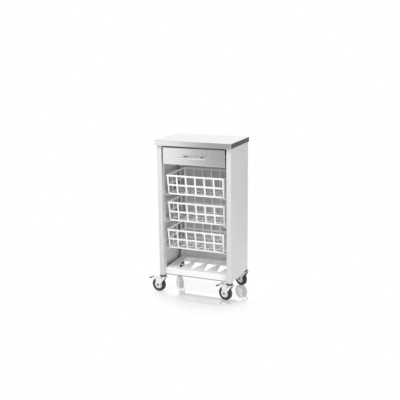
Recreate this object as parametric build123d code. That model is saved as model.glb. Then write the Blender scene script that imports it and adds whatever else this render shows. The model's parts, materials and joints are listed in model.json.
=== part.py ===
from build123d import *
import os
from math import cos, radians, sin, sqrt

# A kitchen trolley in millimetres: +X to the right, +Y to the back, the floor at z = 0,
# and the origin on the floor under the middle of the cabinet.

# Cabinet
cabinet_width = 432.0
cabinet_depth = 278.0
panel_height = 750.0
panel_thickness = 26.0
panel_sheet = 1.2
panel_lip = 40.0
bend_radius = 2.0
back_flange = 14.0
back_foot_gap = 2.0
back_top_flange = 26.0

# Worktop
worktop_thickness = 28.0
worktop_sheet = 1.2
worktop_side_overhang = 6.0
worktop_front_overhang = 15.0
worktop_corner_radius = 2.0

# Brace under the worktop
brace_setback = 34.0
brace_depth = 30.0
brace_drop = 16.0

# Drawer
drawer_front_height = 92.0
drawer_front_top_gap = 11.0
drawer_front_side_gap = 9.0
drawer_front_fold = 18.0
drawer_front_sheet = 1.2
drawer_sheet = 1.0
drawer_side_height = 68.0
drawer_side_rise = 6.0
drawer_hem = 8.0
drawer_back_gap = 26.8
drawer_back_drop = 8.0

# Drawer slides, three nested channels on each side
slide_thickness = 12.4
slide_height = 35.0
slide_gauge = 1.2
slide_setback = 2.0
slide_back_gap = 22.0

# Handle
handle_length = 156.0
handle_spacing = 96.0
handle_bar_radius = 5.0
handle_post_radius = 3.5
handle_standoff = 28.0
handle_drop = 2.0
handle_screw_bite = 13.0

# Baskets, drawn out a little as they stand in use
basket_side_gap = 19.0
basket_front_gap = 29.0
basket_height = 114.0
basket_side_draft = 3.0
basket_front_draft = 16.0
basket_wall = 2.0
basket_rim_band = 11.0
basket_rim_lip = 8.0
basket_rim_proud = 1.5
basket_bar = 9.0
basket_middle_bar = 10.0
basket_foot_bar = 9.0
basket_columns = 6
basket_side_columns = 4
basket_rows = 2
basket_window_radius = 2.5
basket_corner_radius = 6.0
basket_pitch = 155.0
lowest_basket_floor = 263.0
basket_back_gap = 2.8
basket_drawn_out = {"upper": 13.0, "middle": 3.0, "lower": 17.0}

# Basket rails
rail_web = 20.0
rail_overlap = 6.0
rail_sheet = 1.5
rail_front_setback = 22.0
rail_back_setback = 16.0

# Bottle shelf
shelf_top = 144.0
shelf_flange = 35.0
shelf_front_setback = 22.0
shelf_back_setback = 18.0
shelf_sheet = 1.2
shelf_trim_height = 6.0
shelf_trim_proud = 0.4
shelf_trim_back = 0.4
cutout_count = 4
cutout_pitch = 79.0
cutout_width = 63.0
cutout_neck_width = 18.0
cutout_front_margin = 24.0
cutout_neck_length = 18.0
cutout_taper_length = 110.0
cutout_back_margin = 20.0
cutout_back_radius = 12.0
cutout_shoulder_radius = 25.0
cutout_tip_radius = 8.5

# Casters
wheel_radius = 40.0
tyre_width = 23.0
tyre_thickness = 16.0
tyre_edge_radius = 5.0
core_width = 20.0
core_recess = 1.5
core_rim = 4.0
hub_width = 26.0
hub_radius = 9.0
axle_radius = 4.0
axle_head_radius = 7.0
axle_head_height = 3.5
axle_nut_flats = 13.0
axle_nut_height = 6.0
caster_trail = 28.0
caster_inset = 14.0
fork_sheet = 2.5
fork_plate_radius = 19.0
fork_boss_radius = 10.0
fork_heel = 21.0
fork_leg_width = 13.0
fork_notch = 12.0
tyre_fork_gap = 9.9
king_pin_radius = 6.0
king_head_radius = 8.5
king_head_height = 3.5
race_radius = 19.0
race_height = 7.3
race_pocket_inner = 10.0
race_pocket_outer = 17.0
race_roof = 2.0
collar_height = 2.0
collar_flats = 19.0
stem_radius = 5.0
stem_length = 24.0
stem_chamfer = 1.0
ball_radius = 2.4
ball_count = 12
nut_plate_length = 24.0
nut_plate_height = 8.0
caster_turn = {"front_left": 5.0, "front_right": 16.0, "rear_left": 45.0, "rear_right": 25.0}

# Brake pedals on the front casters
pedal_behind_axle = 12.0
pedal_over_tyre = 5.0
pedal_pin_radius = 2.5
pedal_hub_radius = 3.6
pedal_ear_radius = 6.0
pedal_reach = 39.0
pedal_lift = -11.0
pedal_knee_reach = 20.0
pedal_knee_lift = 6.0
pedal_knee_radius = 2.0
pedal_plate = 3.0
pedal_toe_width = 30.0
pedal_toe_length = 14.0
pedal_shoe_radius = 2.0
pedal_travel = 14.0

# Screws
screw_radius = 2.0
screw_head_radius = 4.0
screw_head_height = 2.0
screw_socket_flats = 2.5
screw_socket_depth = 1.2
screw_head_round = 0.7
screw_length = 9.0
worktop_screw_length = 17.0
screw_inset = 30.0
shelf_screw_y = 80.0
worktop_screw_y = 70.0
worktop_screw_x = 80.0

# Clearances
screw_clearance = 0.1
stem_clearance = 0.25
running_clearance = 0.05
slide_clearance = 0.3
seat_clearance = 0.3
ball_clearance = 0.1
nut_plate_clearance = 0.3

# Places worked out from the sizes above
half_width = cabinet_width / 2
half_depth = cabinet_depth / 2
inner_half = half_width - panel_thickness
fork_bottom = 2 * wheel_radius + tyre_fork_gap
fork_top = fork_bottom + fork_sheet
race_bottom = fork_top + seat_clearance
race_top = race_bottom + race_height
panel_bottom = race_top + collar_height
panel_top = panel_bottom + panel_height
worktop_top = panel_top + worktop_thickness
back_inner = half_depth - panel_sheet

drawer_front_top = panel_top - drawer_front_top_gap
drawer_front_bottom = drawer_front_top - drawer_front_height
drawer_front_half = inner_half - drawer_front_side_gap
drawer_face_back = -half_depth + drawer_front_sheet
drawer_half = inner_half - slide_thickness
drawer_side_bottom = drawer_front_bottom + drawer_side_rise
drawer_side_top = drawer_side_bottom + drawer_side_height
drawer_floor_top = drawer_side_bottom + 2 * drawer_sheet
drawer_back_y = half_depth - drawer_back_gap
slide_z = (drawer_side_bottom + drawer_side_top) / 2
slide_front = -half_depth + drawer_front_fold + slide_setback
slide_back = half_depth - slide_back_gap
handle_z = (drawer_front_top + drawer_front_bottom) / 2 - handle_drop
handle_y = -half_depth - handle_standoff

basket_order = ("lower", "middle", "upper")
basket_width = 2 * (inner_half - basket_side_gap)
basket_depth = back_inner - basket_back_gap + half_depth - basket_front_gap
rail_leg = basket_side_gap + basket_side_draft + rail_overlap
basket_floor = {name: lowest_basket_floor + step * basket_pitch for step, name in enumerate(basket_order)}
basket_back = {name: back_inner - basket_back_gap - out for name, out in basket_drawn_out.items()}
basket_window_height = (
    basket_height - basket_rim_band - basket_foot_bar - (basket_rows - 1) * basket_middle_bar
) / basket_rows

shelf_front = -half_depth + shelf_front_setback
shelf_back = half_depth - shelf_back_setback
shelf_bottom = shelf_top - shelf_flange

core_radius = wheel_radius - tyre_thickness
fork_inner = hub_width + 2 * seat_clearance
fork_outer = fork_inner + 2 * fork_sheet
pivot_x = half_width - panel_thickness / 2
pivot_y = half_depth - caster_inset
caster_place = {
    "front_left": (-pivot_x, -pivot_y),
    "front_right": (pivot_x, -pivot_y),
    "rear_left": (-pivot_x, pivot_y),
    "rear_right": (pivot_x, pivot_y),
}
braked_casters = ("front_left", "front_right")
pedal_x = -caster_trail - pedal_behind_axle
pedal_above_axle = wheel_radius + pedal_over_tyre
pedal_z = wheel_radius + pedal_above_axle
rail_screw_rise = (rail_web + screw_head_radius) / 2 - seat_clearance
rail_screw_z = {name: floor + rail_screw_rise for name, floor in basket_floor.items()}


def block(x_span, y_span, z_span):
    """A box between two corners."""
    spans = (x_span, y_span, z_span)
    middle = [(low + high) / 2 for low, high in spans]
    return Pos(*middle) * Box(*[high - low for low, high in spans])


def rod_x(radius, x_span, y, z):
    low, high = x_span
    return Pos((low + high) / 2, y, z) * Rot(0, 90, 0) * Cylinder(radius, high - low)


def rod_y(radius, x, y_span, z):
    low, high = y_span
    return Pos(x, (low + high) / 2, z) * Rot(90, 0, 0) * Cylinder(radius, high - low)


def rod_z(radius, x, y, z_span):
    low, high = z_span
    return Pos(x, y, (low + high) / 2) * Cylinder(radius, high - low)


def hexagon_z(flats, x, y, z_span):
    low, high = z_span
    outline = RegularPolygon(flats / 2, 6, major_radius=False)
    return Pos(x, y, low) * extrude(outline, high - low)


def other_side(shape):
    """The same piece for the left side of the cabinet."""
    return mirror(shape, about=Plane.YZ)


def save(node, *shapes):
    """One file for each node, with its solids apart."""
    solids = [solid for shape in shapes for solid in shape.solids()]
    export_step(Compound(solids), f"parts/{node}.step")


def screw(length):
    """A socket-head screw that points up, with the underside of its head at z = 0."""
    head = rod_z(screw_head_radius, 0, 0, (-screw_head_height, 0))
    head = fillet(head.edges().group_by(Axis.Z)[0], screw_head_round)
    socket_span = (-screw_head_height, screw_socket_depth - screw_head_height)
    socket = hexagon_z(screw_socket_flats, 0, 0, socket_span)
    return head + rod_z(screw_radius, 0, 0, (0, length)) - socket


def side_screw_points():
    """Where screws enter the right panel's lips: height, depth and the sheet under each head."""
    rows = [(rail_screw_z[name], rail_sheet) for name in basket_order]
    rows.append((slide_z, slide_gauge))
    ends = (-half_depth + screw_inset, half_depth - screw_inset)
    points = [(y, z, gauge) for z, gauge in rows for y in ends]
    shelf_screw_z = (max(shelf_bottom, panel_bottom) + panel_bottom + panel_lip) / 2
    points += [(y, shelf_screw_z, shelf_sheet) for y in (-shelf_screw_y, shelf_screw_y)]
    back_y = half_depth - back_flange / 2
    back_rows = (panel_bottom + panel_lip, (panel_bottom + panel_top) / 2, panel_top - panel_lip)
    points += [(back_y, z, panel_sheet) for z in back_rows]
    points.append((brace_middle_y(), panel_top - panel_sheet - brace_drop / 2, panel_sheet))
    return points


def brace_middle_y():
    return -half_depth + brace_setback + brace_depth / 2


def side_screw_holes():
    reach = (inner_half - panel_thickness, inner_half + screw_length)
    return [rod_x(screw_radius + screw_clearance, reach, y, z) for y, z, _ in side_screw_points()]


def worktop_screw_points():
    """Where screws rise into the worktop."""
    rear_y = back_inner - back_top_flange / 2
    points = [(x, y) for x in (-pivot_x, pivot_x) for y in (-worktop_screw_y, worktop_screw_y)]
    points += [(x, y) for x in (-worktop_screw_x, worktop_screw_x) for y in (brace_middle_y(), rear_y)]
    return points


def worktop_screw_holes(top):
    span = (panel_top - panel_thickness, top)
    return [rod_z(screw_radius + screw_clearance, x, y, span) for x, y in worktop_screw_points()]


# Worktop


def worktop_spans():
    x = half_width + worktop_side_overhang
    return (-x, x), (-half_depth - worktop_front_overhang, half_depth), (panel_top, worktop_top)


def worktop_skin():
    """A stainless tray, upside down over its core."""
    skin = block(*worktop_spans())
    skin = fillet(skin.edges().filter_by(Axis.Z), worktop_corner_radius)
    skin = fillet(skin.faces().sort_by(Axis.Z)[-1].edges(), worktop_corner_radius / 2)
    return skin - core_block()


def core_block():
    (left, right), (front, back), (bottom, top) = worktop_spans()
    across = (left + worktop_sheet, right - worktop_sheet)
    along = (front + worktop_sheet, back - worktop_sheet)
    return block(across, along, (bottom, top - worktop_sheet))


def worktop_core():
    bite = panel_top - panel_sheet + worktop_screw_length + screw_clearance
    return core_block() - worktop_screw_holes(bite)


# Cabinet


def right_side_panel():
    """A folded tray that opens inwards, with a lip all round the opening."""
    across = (inner_half, half_width)
    panel = block(across, (-half_depth, half_depth), (panel_bottom, panel_top))
    panel = fillet(panel.edges().filter_by(Axis.Z), bend_radius)
    hollow = block(
        (inner_half + panel_sheet, half_width - panel_sheet),
        (-half_depth + panel_sheet, half_depth - panel_sheet),
        (panel_bottom + panel_sheet, panel_top - panel_sheet),
    )
    mouth = block(
        (inner_half, inner_half + panel_sheet),
        (-half_depth + panel_lip, half_depth - panel_lip),
        (panel_bottom + panel_lip, panel_top - panel_lip),
    )
    stem_span = (panel_bottom, panel_bottom + panel_sheet)
    stems = [rod_z(stem_radius + stem_clearance, pivot_x, y, stem_span) for y in (-pivot_y, pivot_y)]
    return panel - hollow - mouth - stems - side_screw_holes() - worktop_screw_holes(panel_top)


def back_panel():
    """A sheet between the side panels, folded forwards at its sides and top."""
    across = (-inner_half, inner_half)
    upright = (panel_bottom + back_foot_gap, panel_top)
    folds = (half_depth - back_flange, half_depth)
    panel = block(across, (back_inner, half_depth), upright)
    panel += block(across, (back_inner - back_top_flange, back_inner), (panel_top - panel_sheet, panel_top))
    right_flange = block((inner_half - panel_sheet, inner_half), folds, upright)
    panel += [right_flange, other_side(right_flange)]
    holes = side_screw_holes()
    return panel - holes - [other_side(hole) for hole in holes] - worktop_screw_holes(panel_top)


def front_brace():
    """A flat strip under the worktop, folded down at its ends and its front edge."""
    front = -half_depth + brace_setback
    along = (front, front + brace_depth)
    strip = block((-inner_half, inner_half), along, (panel_top - panel_sheet, panel_top))
    leg = (panel_top - brace_drop, panel_top)
    strip += block((-inner_half, inner_half), (front, front + panel_sheet), leg)
    right_tab = block((inner_half - panel_sheet, inner_half), along, leg)
    strip += [right_tab, other_side(right_tab)]
    holes = side_screw_holes()
    return strip - holes - [other_side(hole) for hole in holes] - worktop_screw_holes(panel_top)


def right_rail(name):
    """An angle rail: the basket's floor runs on its leg."""
    along = (-half_depth + rail_front_setback, half_depth - rail_back_setback)
    seat = basket_floor[name] - seat_clearance
    leg = block((inner_half - rail_leg, inner_half), along, (seat - rail_sheet, seat))
    web = block((inner_half - rail_sheet, inner_half), along, (seat, seat + rail_web))
    return leg + web - side_screw_holes()


def cutout_outline():
    """A bottle's outline: a wide body at the back, shoulders and a neck towards the front."""
    body = cutout_width / 2
    neck = cutout_neck_width / 2
    tip = shelf_front + cutout_front_margin
    neck_end = tip + cutout_neck_length
    shoulder = neck_end + cutout_taper_length
    back = shelf_back - cutout_back_margin
    right = [(neck, tip), (neck, neck_end), (body, shoulder), (body, back)]
    left = [(-x, y) for x, y in reversed(right)]
    outline = make_face(Polyline(*right, *left, close=True))
    shoulders = outline.vertices().filter_by_position(Axis.Y, shoulder, shoulder)
    outline = fillet(shoulders, cutout_shoulder_radius)
    outline = fillet(outline.vertices().group_by(Axis.Y)[-1], cutout_back_radius)
    return fillet(outline.vertices().group_by(Axis.Y)[0], cutout_tip_radius)


def bottle_shelf():
    """A folded sheet with its flanges down and a row of bottle-shaped cut-outs."""
    across = (-inner_half, inner_half)
    shelf = block(across, (shelf_front, shelf_back), (shelf_bottom, shelf_top))
    shelf = fillet(shelf.edges().filter_by(Axis.X).group_by(Axis.Z)[-1], bend_radius)
    shelf -= block(
        (-inner_half + shelf_sheet, inner_half - shelf_sheet),
        (shelf_front + shelf_sheet, shelf_back - shelf_sheet),
        (shelf_bottom, shelf_top - shelf_sheet),
    )
    cutout = extrude(cutout_outline(), shelf_sheet)
    first = -(cutout_count - 1) / 2 * cutout_pitch
    places = [first + step * cutout_pitch for step in range(cutout_count)]
    holes = side_screw_holes()
    shelf -= [Pos(x, 0, shelf_top - shelf_sheet) * cutout for x in places]
    return shelf - holes - [other_side(hole) for hole in holes]


def shelf_edge_trim():
    """A strip bonded under the cut edge of the shelf's front flange."""
    return block(
        (-inner_half, inner_half),
        (shelf_front - shelf_trim_proud, shelf_front + shelf_sheet + shelf_trim_back),
        (shelf_bottom - shelf_trim_height, shelf_bottom),
    )


def cabinet_screws():
    right = [
        Pos(inner_half - gauge, y, z) * Rot(0, 90, 0) * screw(screw_length)
        for y, z, gauge in side_screw_points()
    ]
    return right + [other_side(piece) for piece in right]


def worktop_screws():
    head_seat = panel_top - panel_sheet
    return [Pos(x, y, head_seat) * screw(worktop_screw_length) for x, y in worktop_screw_points()]


# Drawer


def drawer_front():
    """A steel tray with its face to the front."""
    across = (-drawer_front_half, drawer_front_half)
    upright = (drawer_front_bottom, drawer_front_top)
    front = block(across, (-half_depth, -half_depth + drawer_front_fold), upright)
    front = fillet(front.faces().sort_by(Axis.Y)[0].edges(), bend_radius / 2)
    front -= block(
        (-drawer_front_half + drawer_front_sheet, drawer_front_half - drawer_front_sheet),
        (drawer_face_back, -half_depth + drawer_front_fold),
        (drawer_front_bottom + drawer_front_sheet, drawer_front_top - drawer_front_sheet),
    )
    through = (-half_depth, drawer_face_back)
    hole = screw_radius + screw_clearance
    return front - [rod_y(hole, x, through, handle_z) for x in handle_post_places()]


def drawer_right_side():
    along = (drawer_face_back, drawer_back_y)
    web = block((drawer_half - drawer_sheet, drawer_half), along, (drawer_side_bottom, drawer_side_top))
    fold = (drawer_half - drawer_hem, drawer_half - drawer_sheet)
    foot = block(fold, along, (drawer_side_bottom, drawer_side_bottom + drawer_sheet))
    hem = block(fold, along, (drawer_side_top - drawer_sheet, drawer_side_top))
    return web + foot + hem


def drawer_bottom():
    across = drawer_half - drawer_sheet
    level = (drawer_floor_top - drawer_sheet, drawer_floor_top)
    return block((-across, across), (drawer_face_back, drawer_back_y), level)


def drawer_back():
    across = drawer_half - drawer_sheet
    upright = (drawer_floor_top, drawer_side_top - drawer_back_drop)
    return block((-across, across), (drawer_back_y - drawer_sheet, drawer_back_y), upright)


def slide_channel(web_x, flange_x, half_height):
    """One slide member on the right side: a web and two flanges."""
    along = (slide_front, slide_back)
    inside = half_height - slide_gauge
    channel = block(web_x, along, (slide_z - half_height, slide_z + half_height))
    channel += block(flange_x, along, (slide_z + inside, slide_z + half_height))
    return channel + block(flange_x, along, (slide_z - half_height, slide_z - inside))


def right_slide(member):
    """The outer, middle or inner member: each runs inside the one before it."""
    step = slide_gauge + slide_clearance
    mouth = inner_half - slide_thickness + step
    middle_web = inner_half - slide_gauge - screw_head_height - slide_clearance
    if member == "outer":
        web = (inner_half - slide_gauge, inner_half)
        return slide_channel(web, (mouth, inner_half), slide_height / 2) - side_screw_holes()
    if member == "middle":
        web = (middle_web - slide_gauge, middle_web)
        return slide_channel(web, (mouth, middle_web), slide_height / 2 - step)
    web = (drawer_half, drawer_half + slide_gauge)
    return slide_channel(web, (drawer_half, middle_web - step), slide_height / 2 - 2 * step)


# Handle


def handle_post_places():
    return (-handle_spacing / 2, handle_spacing / 2)


def handle_bar():
    bar = rod_x(handle_bar_radius, (-handle_length / 2, handle_length / 2), handle_y, handle_z)
    bar = chamfer(bar.edges(), handle_bar_radius / 8)
    sockets = [
        rod_y(handle_post_radius + running_clearance, x, (handle_y, handle_y + handle_bar_radius), handle_z)
        for x in handle_post_places()
    ]
    return bar - sockets


def handle_posts():
    threads = (-half_depth - handle_screw_bite, -half_depth)
    return [
        rod_y(handle_post_radius, x, (handle_y, -half_depth), handle_z)
        - rod_y(screw_radius + running_clearance, x, threads, handle_z)
        for x in handle_post_places()
    ]


def handle_screws():
    length = drawer_front_sheet + handle_screw_bite
    forwards = Rot(90, 0, 0) * screw(length)
    return [Pos(x, drawer_face_back, handle_z) * forwards for x in handle_post_places()]


# Baskets


def basket_body(inset, floor, top):
    """A tapered block with flat walls and rounded upright edges, its back at y = -inset."""

    def half_at(height):
        return basket_width / 2 - (1 - height / basket_height) * basket_side_draft - inset

    def front_at(height):
        return -basket_depth + (1 - height / basket_height) * basket_front_draft + inset

    from_front = make_face(
        Polyline(
            (-half_at(floor), 0, floor),
            (half_at(floor), 0, floor),
            (half_at(top), 0, top),
            (-half_at(top), 0, top),
            close=True,
        )
    )
    from_side = make_face(
        Polyline(
            (0, front_at(floor), floor),
            (0, -inset, floor),
            (0, -inset, top),
            (0, front_at(top), top),
            close=True,
        )
    )
    body = extrude(from_front, 2 * basket_depth, both=True) & extrude(from_side, basket_width, both=True)
    uprights = [edge for edge in body.edges() if abs((edge @ 1 - edge @ 0).Z) > (top - floor) / 2]
    return fillet(uprights, max(basket_corner_radius - inset, basket_wall / 2))


def window_cutters(columns, pitch, depth):
    """A grid of rounded window blocks in the XZ plane, centred on x = 0."""
    width = pitch - basket_bar
    outline = RectangleRounded(width, basket_window_height, basket_window_radius)
    cutter = Rot(90, 0, 0) * extrude(outline, depth / 2, both=True)
    rise = basket_window_height + basket_middle_bar
    first = -(columns - 1) / 2 * pitch
    return [
        Pos(first + column * pitch, 0, basket_foot_bar + basket_window_height / 2 + row * rise) * cutter
        for column in range(columns)
        for row in range(basket_rows)
    ]


def basket():
    """One lattice basket, its back at y = 0 and its foot at z = 0."""
    rim_foot = basket_height - basket_rim_lip
    shell = basket_body(0, 0, basket_height) - basket_body(basket_wall, basket_wall, basket_height)
    rim = basket_body(-basket_rim_proud, rim_foot, basket_height) - basket_body(0, rim_foot, basket_height)
    shell += rim
    front_pitch = (basket_width - 2 * basket_side_draft - basket_bar) / basket_columns
    side_pitch = (basket_depth - basket_front_draft - basket_bar) / basket_side_columns
    side_middle = -(basket_depth - basket_front_draft) / 2
    through_depth = Pos(0, -basket_depth / 2, 0)
    through_width = Pos(0, side_middle, 0) * Rot(0, 0, 90)
    front_windows = window_cutters(basket_columns, front_pitch, 2 * basket_depth)
    side_windows = window_cutters(basket_side_columns, side_pitch, 2 * basket_width)
    shell -= [through_depth * window for window in front_windows]
    shell -= [through_width * window for window in side_windows]
    mesh = RectangleRounded(front_pitch - basket_bar, side_pitch - basket_bar, basket_window_radius)
    floor_hole = extrude(mesh, basket_wall)
    first_x = -(basket_columns - 1) / 2 * front_pitch
    first_y = side_middle - (basket_side_columns - 1) / 2 * side_pitch
    shell -= [
        Pos(first_x + column * front_pitch, first_y + row * side_pitch, 0) * floor_hole
        for column in range(basket_columns)
        for row in range(basket_side_columns)
    ]
    return shell


# Casters, built about the swivel axis and trailing towards -X before they are turned


def caster_stem():
    """Threaded stem, hexagon collar, race and king pin, swaged into one."""
    head_top = fork_bottom - seat_clearance
    stem = rod_z(stem_radius, 0, 0, (panel_bottom, panel_bottom + stem_length))
    stem = chamfer(stem.edges().group_by(Axis.Z)[-1], stem_chamfer)
    collar = hexagon_z(collar_flats, 0, 0, (race_top, panel_bottom))
    race = rod_z(race_radius, 0, 0, (race_bottom, race_top))
    race = fillet(race.edges().group_by(Axis.Z)[-1], race_height / 4)
    pocket_span = (race_bottom, race_top - race_roof)
    pocket = rod_z(race_pocket_outer, 0, 0, pocket_span) - rod_z(race_pocket_inner, 0, 0, pocket_span)
    pin = rod_z(king_pin_radius, 0, 0, (head_top, race_bottom))
    head = rod_z(king_head_radius, 0, 0, (head_top - king_head_height, head_top))
    return stem + collar + (race - pocket) + pin + head


def caster_balls():
    ring = (race_pocket_inner + race_pocket_outer) / 2
    height = fork_top + ball_clearance + ball_radius
    ball = Pos(ring, 0, height) * Sphere(ball_radius)
    return [Rot(0, 0, 360 * step / ball_count) * ball for step in range(ball_count)]


def fork_side(crown, *rounds):
    """One flat side of a fork: the hull of a stretch of the crown's edge and the rounds below it."""
    low, high = crown
    edge = Pos((low + high) / 2, (fork_bottom + fork_top) / 2) * Rectangle(high - low, fork_sheet)
    return make_hull(edge.edges() + [line for part in rounds for line in part.edges()])


def fork(braked):
    """A pressed fork: a crown over two raked legs, and on a braked one two plates for the pedal's pin."""
    boss = Pos(-caster_trail, wheel_radius) * Circle(fork_boss_radius)
    leg_back = fork_heel - fork_leg_width
    side = fork_side((leg_back, fork_heel), boss)
    crown_back = 0
    if braked:
        ear = Pos(pedal_x, pedal_z) * Circle(pedal_ear_radius)
        side += fork_side((pedal_x, leg_back - fork_notch), boss, ear)
        crown_back = pedal_x
    sheet = Rot(90, 0, 0) * extrude(side, fork_sheet)
    shift = fork_outer / 2
    sheets = Pos(0, -shift + fork_sheet, 0) * sheet + Pos(0, shift, 0) * sheet
    strip = Pos((crown_back + fork_heel) / 2, 0) * Rectangle(fork_heel - crown_back, fork_outer)
    crown = Pos(0, 0, fork_bottom) * extrude(Circle(fork_plate_radius) + strip, fork_sheet)
    through = (-fork_outer, fork_outer)
    pressing = (
        sheets
        + crown
        - rod_z(king_pin_radius + running_clearance, 0, 0, (fork_bottom, fork_top))
        - rod_y(axle_radius + running_clearance, -caster_trail, through, wheel_radius)
    )
    if braked:
        pressing -= rod_y(pedal_pin_radius + running_clearance, pedal_x, through, pedal_z)
    return pressing


def axle():
    """A round-headed bolt with its nut."""
    half = fork_outer / 2
    shank = rod_y(axle_radius, -caster_trail, (-half, half + axle_nut_height), wheel_radius)
    head = rod_y(axle_head_radius, -caster_trail, (-half - axle_head_height, -half), wheel_radius)
    head = fillet(head.edges().group_by(Axis.Y)[0], axle_head_height / 2)
    nut = Rot(-90, 0, 0) * hexagon_z(axle_nut_flats, 0, 0, (0, axle_nut_height))
    return shank + head + Pos(-caster_trail, half, wheel_radius) * nut


def wheel_core():
    """A dished disc with a raised hub."""
    axis = (-caster_trail, wheel_radius)
    core = rod_y(core_radius, axis[0], (-core_width / 2, core_width / 2), axis[1])
    core = chamfer(core.edges(), core_recess / 2)
    web = core_width / 2 - core_recess
    for dish in ((-core_width / 2, -web), (web, core_width / 2)):
        core -= rod_y(core_radius - core_rim, axis[0], dish, axis[1])
    core += rod_y(hub_radius, axis[0], (-hub_width / 2, hub_width / 2), axis[1])
    return core - rod_y(axle_radius + running_clearance, axis[0], (-hub_width, hub_width), axis[1])


def tyre():
    ring = rod_y(wheel_radius, -caster_trail, (-tyre_width / 2, tyre_width / 2), wheel_radius)
    ring = fillet(ring.edges(), tyre_edge_radius)
    seat = core_radius + running_clearance
    return ring - rod_y(seat, -caster_trail, (-tyre_width, tyre_width), wheel_radius)


def brake_pedal():
    """An arched foot lever on its pin, with a shoe that swings towards the tyre as the toe is pressed."""
    half = fork_inner / 2 - seat_clearance
    toe_x = -pedal_reach
    hub = Circle(pedal_hub_radius)
    toe_end = Pos(toe_x, pedal_lift) * Circle(pedal_plate / 2)
    knee = Pos(-pedal_knee_reach, pedal_knee_lift) * Circle(pedal_knee_radius)
    arm = make_hull(hub.edges() + knee.edges()) + make_hull(knee.edges() + toe_end.edges())
    towards_wheel = sqrt(pedal_behind_axle**2 + pedal_above_axle**2)
    gap = towards_wheel - wheel_radius - seat_clearance
    reach = gap - pedal_shoe_radius
    swing = radians(pedal_travel)
    to_axle = (pedal_behind_axle / towards_wheel, -pedal_above_axle / towards_wheel)
    shoe_x = reach * (to_axle[0] * cos(swing) - to_axle[1] * sin(swing))
    shoe_z = reach * (to_axle[0] * sin(swing) + to_axle[1] * cos(swing))
    shoe = Pos(shoe_x, shoe_z) * Circle(pedal_shoe_radius)
    profile = arm + make_hull(hub.edges() + shoe.edges())
    lever = Rot(90, 0, 0) * extrude(profile, half, both=True)
    toe_span = (toe_x - pedal_toe_length / 2, toe_x + pedal_toe_length / 2)
    toe = block(
        toe_span,
        (-pedal_toe_width / 2, pedal_toe_width / 2),
        (pedal_lift - pedal_plate / 2, pedal_lift + pedal_plate / 2),
    )
    toe = fillet(toe.edges().filter_by(Axis.Z), pedal_plate)
    pin = rod_y(pedal_pin_radius, 0, (-fork_outer / 2, fork_outer / 2), 0)
    return Pos(pedal_x, 0, pedal_z) * (lever + toe + pin)


def nut_plate(x, y):
    """A threaded plate inside a panel's foot, for one caster stem."""
    half_across = panel_thickness / 2 - panel_sheet - nut_plate_clearance
    seat = panel_bottom + panel_sheet
    plate = block(
        (x - half_across, x + half_across),
        (y - nut_plate_length / 2, y + nut_plate_length / 2),
        (seat, seat + nut_plate_height),
    )
    return plate - rod_z(stem_radius + running_clearance, x, y, (seat, seat + nut_plate_height))


os.makedirs("parts", exist_ok=True)

save("worktop_skin", worktop_skin())
save("worktop_core", worktop_core())
save("right_side_panel", right_side_panel())
save("left_side_panel", other_side(right_side_panel()))
save("back_panel", back_panel())
save("front_brace", front_brace())
save("bottle_shelf", bottle_shelf())
save("shelf_edge_trim", shelf_edge_trim())
save("cabinet_screws", *cabinet_screws())
save("worktop_screws", *worktop_screws())

save("drawer_front", drawer_front())
save("drawer_right_side", drawer_right_side())
save("drawer_left_side", other_side(drawer_right_side()))
save("drawer_bottom", drawer_bottom())
save("drawer_back", drawer_back())
for member in ("outer", "middle", "inner"):
    save(f"right_slide_{member}", right_slide(member))
    save(f"left_slide_{member}", other_side(right_slide(member)))
save("handle_bar", handle_bar())
save("handle_posts", *handle_posts())
save("handle_screws", *handle_screws())

one_basket = basket()
for name in basket_order:
    save(f"{name}_basket", Pos(0, basket_back[name], basket_floor[name]) * one_basket)
    save(f"{name}_right_rail", right_rail(name))
    save(f"{name}_left_rail", other_side(right_rail(name)))

save("caster_nut_plates", *[nut_plate(*place) for place in caster_place.values()])
for name, place in caster_place.items():
    turned = Pos(*place, 0) * Rot(0, 0, -caster_turn[name])
    save(f"{name}_caster_stem", turned * caster_stem())
    save(f"{name}_caster_balls", *[turned * ball for ball in caster_balls()])
    save(f"{name}_caster_fork", turned * fork(name in braked_casters))
    save(f"{name}_axle", turned * axle())
    save(f"{name}_wheel_core", turned * wheel_core())
    save(f"{name}_tyre", turned * tyre())
    if name in braked_casters:
        save(f"{name}_brake_pedal", turned * brake_pedal())
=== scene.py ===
"""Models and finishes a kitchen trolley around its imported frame, in metres."""

import json
from contextlib import contextmanager
from math import atan2, cos, pi, radians, sin

import bmesh
import bpy
from mathutils import Matrix, Vector


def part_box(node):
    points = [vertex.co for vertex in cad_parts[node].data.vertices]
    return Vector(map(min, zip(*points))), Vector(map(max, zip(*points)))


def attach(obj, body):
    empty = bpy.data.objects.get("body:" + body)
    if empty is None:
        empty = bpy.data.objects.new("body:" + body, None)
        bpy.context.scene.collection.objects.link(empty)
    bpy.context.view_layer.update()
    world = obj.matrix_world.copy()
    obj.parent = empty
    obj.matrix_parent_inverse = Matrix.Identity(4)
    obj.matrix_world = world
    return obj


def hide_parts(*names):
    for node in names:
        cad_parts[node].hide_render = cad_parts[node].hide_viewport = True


bl_info = {
    "name": "Kitchen Trolley",
    "version": (1, 0, 0),
    "blender": (4, 5, 0),
    "location": "View3D > Sidebar > Trolley",
    "description": "Models and finishes a kitchen trolley on swivel casters",
    "category": "Object",
}

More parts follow.
